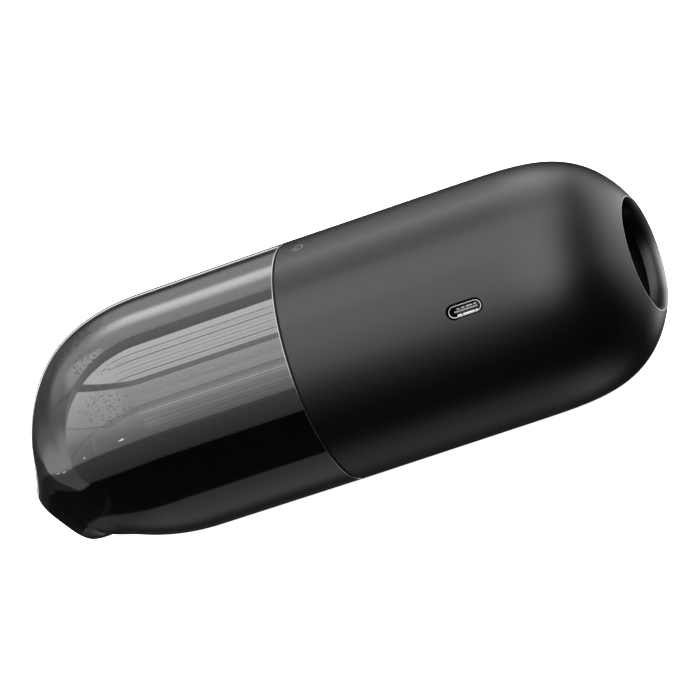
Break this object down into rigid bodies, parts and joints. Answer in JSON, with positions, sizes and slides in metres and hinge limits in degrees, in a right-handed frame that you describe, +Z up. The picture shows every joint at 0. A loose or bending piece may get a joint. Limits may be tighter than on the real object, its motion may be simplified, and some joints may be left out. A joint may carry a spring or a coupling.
{
  "type": "car vacuum cleaner",
  "caption": "Capsule-shaped cordless car vacuum: soft-touch black barrel with power button, charging port and rear exhaust, and a smoked clear dust cup with a slanted nozzle mouth.",
  "frame": {"origin": "middle of the part's length and width, at the level of the surface that the barrel lies on", "axes": "+X along the barrel towards the exhaust, so the nozzle points to -X; +Z up, through the power button; the charging port is on the -Y side"},
  "size_m": [0.1722, 0.064, 0.0636],
  "materials": {
    "soft_black": "soft-touch black paint on moulded plastic",
    "smoked_clear": "glossy smoked clear polycarbonate",
    "inner_plastic": "moulded dark plastic",
    "fan_plastic": "moulded pale nylon",
    "seal_rubber": "soft black silicone",
    "zinc_steel": "zinc-plated steel",
    "port_steel": "bright stainless",
    "ferrite": "sintered ferrite",
    "bronze": "sintered bronze and plain brass",
    "gold_contact": "gold-plated contacts",
    "copper": "enamelled copper",
    "carbon": "pressed carbon",
    "cell_wrap": "shrink-wrapped cell",
    "nickel": "nickel strip",
    "board_green": "solder-masked laminate",
    "chip_black": "moulded chip packages",
    "foam": "open-cell foam",
    "pleat_paper": "pleated filter paper",
    "lead_red": "silicone lead",
    "icon_grey": "translucent grey icon"
  },
  "bodies": {
    "main": {"main_shell": "soft_black", "front_bulkhead": "inner_plastic", "bulkhead_screws": "zinc_steel", "cup_seal": "seal_rubber", "intake_gasket": "seal_rubber", "fan_cover": "inner_plastic", "fan_plate": "inner_plastic", "motor_can": "zinc_steel", "motor_magnets": "ferrite", "motor_end_cap": "inner_plastic", "motor_brushes": "carbon", "motor_terminals": "bronze", "motor_front_bearing": "bronze", "motor_rear_bearing": "bronze", "motor_damper": "seal_rubber", "motor_screws": "zinc_steel", "motor_cradle": "inner_plastic", "battery_tray": "inner_plastic", "battery_cell_left": "cell_wrap", "battery_cell_right": "cell_wrap", "battery_strips": "nickel", "control_board": "board_green", "board_components": "chip_black", "board_screws": "zinc_steel", "switch_body": "zinc_steel", "charge_board": "board_green", "charge_components": "chip_black", "usb_c_shell": "port_steel", "usb_c_tongue": "chip_black", "usb_c_contacts": "gold_contact", "exhaust_foam": "foam", "exhaust_grille": "inner_plastic", "motor_leads": "lead_red", "battery_leads": "lead_red", "charge_leads": "lead_red"},
    "rotor": {"motor_shaft": "zinc_steel", "armature_core": "zinc_steel", "armature_windings": "copper", "commutator": "copper", "impeller": "fan_plastic"},
    "button": {"power_button": "soft_black", "power_icon": "icon_grey", "switch_plunger": "chip_black"},
    "cup": {"dust_cup": "smoked_clear"},
    "filter": {"filter_frame": "inner_plastic", "filter_media": "pleat_paper", "filter_cap": "inner_plastic", "filter_screen": "zinc_steel", "filter_seal": "seal_rubber"}
  },
  "joints": [
    {"name": "cup_slide", "type": "slide", "parent": "main", "child": "cup", "axis": [-1, 0, 0], "range_m": [0, 0.1]},
    {"name": "filter_slide", "type": "slide", "parent": "main", "child": "filter", "axis": [-1, 0, 0], "range_m": [0, 0.012]},
    {"name": "button_press", "type": "slide", "parent": "main", "child": "button", "axis": [0, 0, -1], "range_m": [0, 0.0005], "stiffness_N_per_m": 3000},
    {"name": "rotor_spin", "type": "hinge", "parent": "main", "child": "rotor", "pos_m": [0, 0, 0.0371], "axis": [1, 0, 0], "continuous": true}
  ]
}
